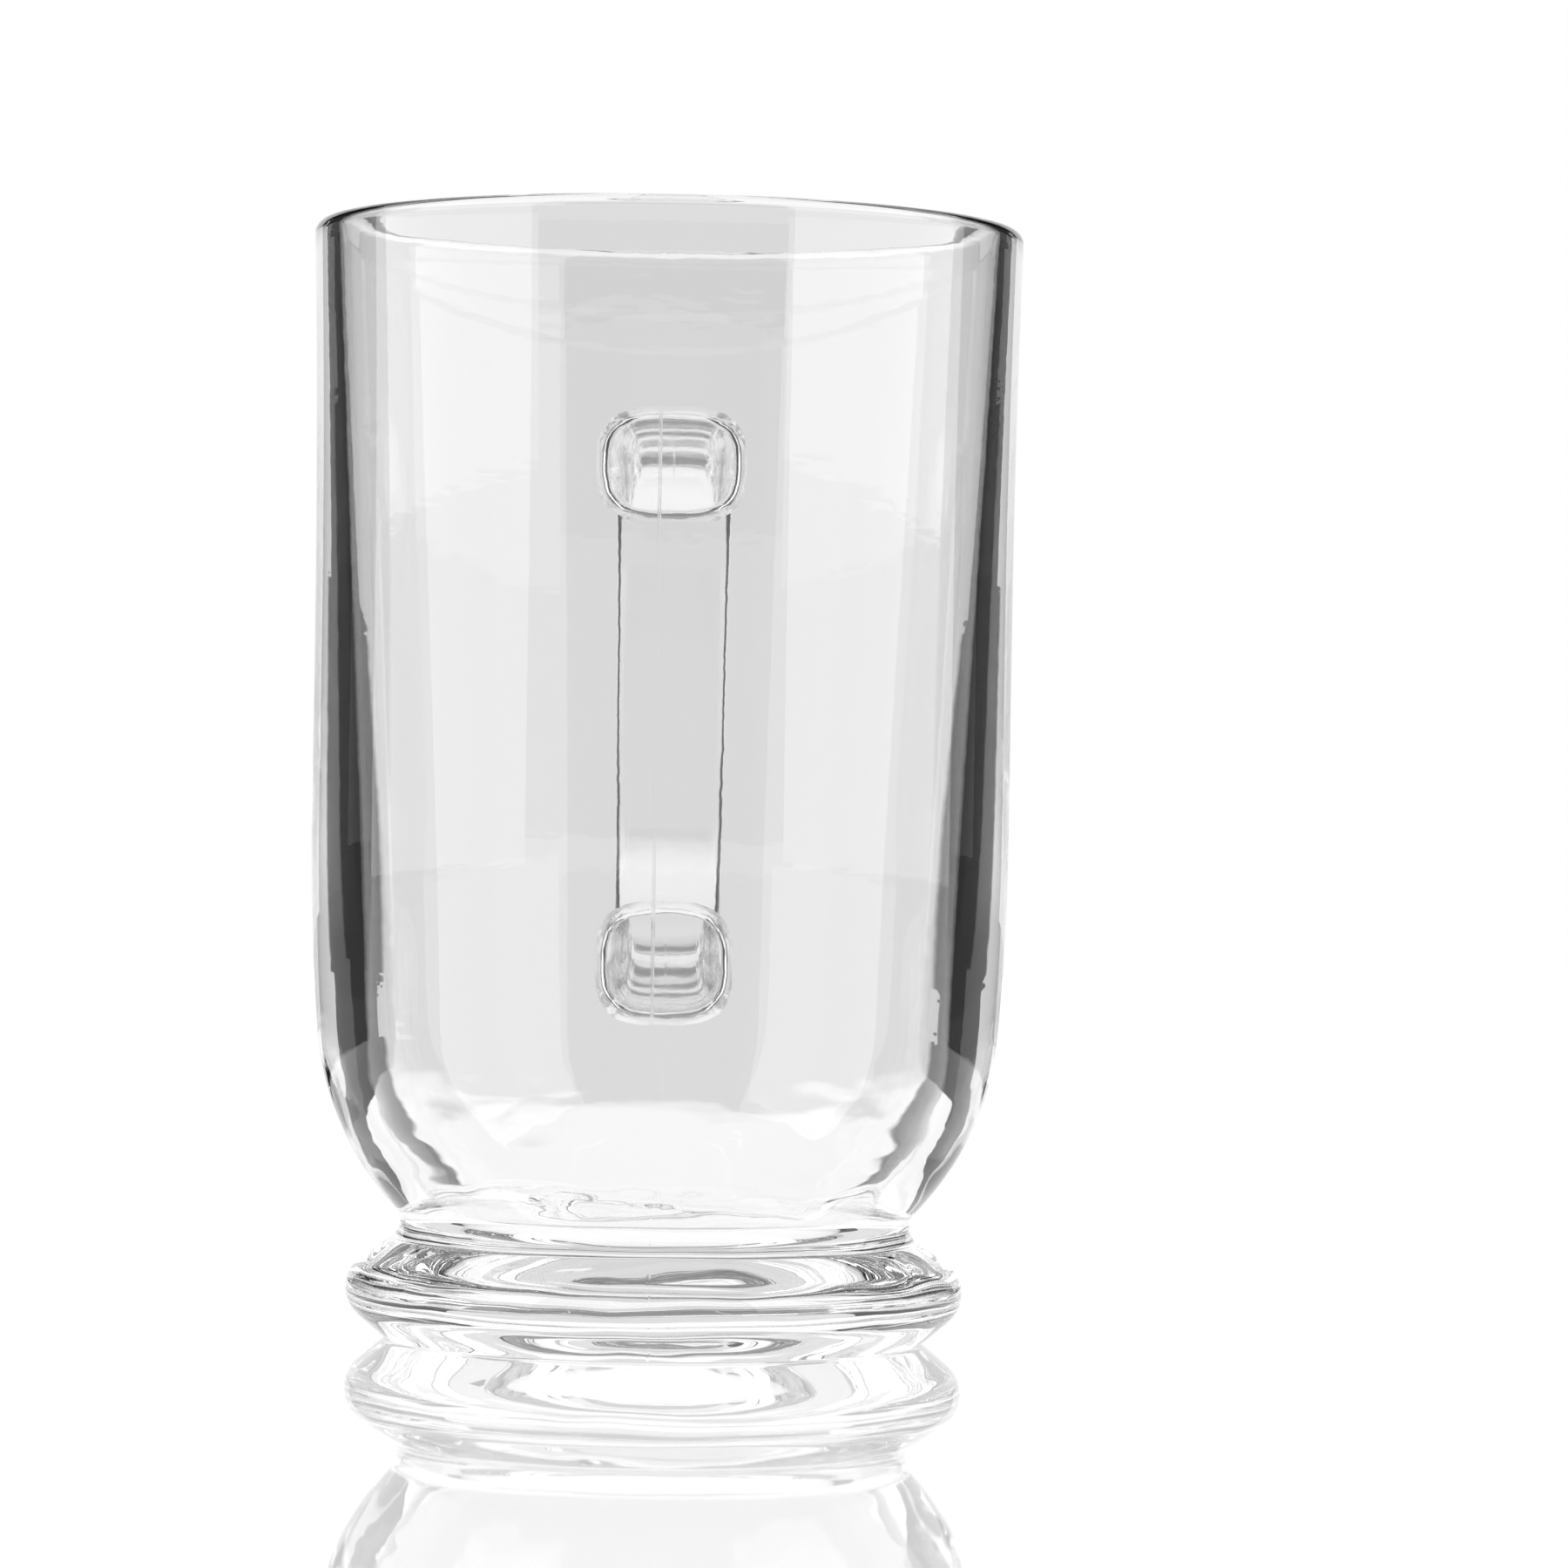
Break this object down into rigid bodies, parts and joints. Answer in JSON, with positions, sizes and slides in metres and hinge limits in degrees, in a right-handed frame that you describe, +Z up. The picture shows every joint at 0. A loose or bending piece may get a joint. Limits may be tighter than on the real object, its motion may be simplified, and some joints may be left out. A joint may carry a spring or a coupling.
{
  "type": "glass mug",
  "caption": "Clear pressed-glass mug for hot drinks: a tall bowl with a slightly flared lip, a low rounded foot and a D-shaped handle.",
  "frame": {"origin": "on the mug's axis, in the plane of the ring that it stands on", "axes": "+Z up along the mug's axis, +X towards the handle"},
  "size_m": [0.1162, 0.08, 0.1258],
  "materials": {
    "clear_glass": "clear pressed soda-lime glass, fire-polished, with a fine mould seam and slight waviness"
  },
  "bodies": {
    "root": {"bowl": "clear_glass", "foot": "clear_glass", "handle": "clear_glass"}
  },
  "joints": []
}
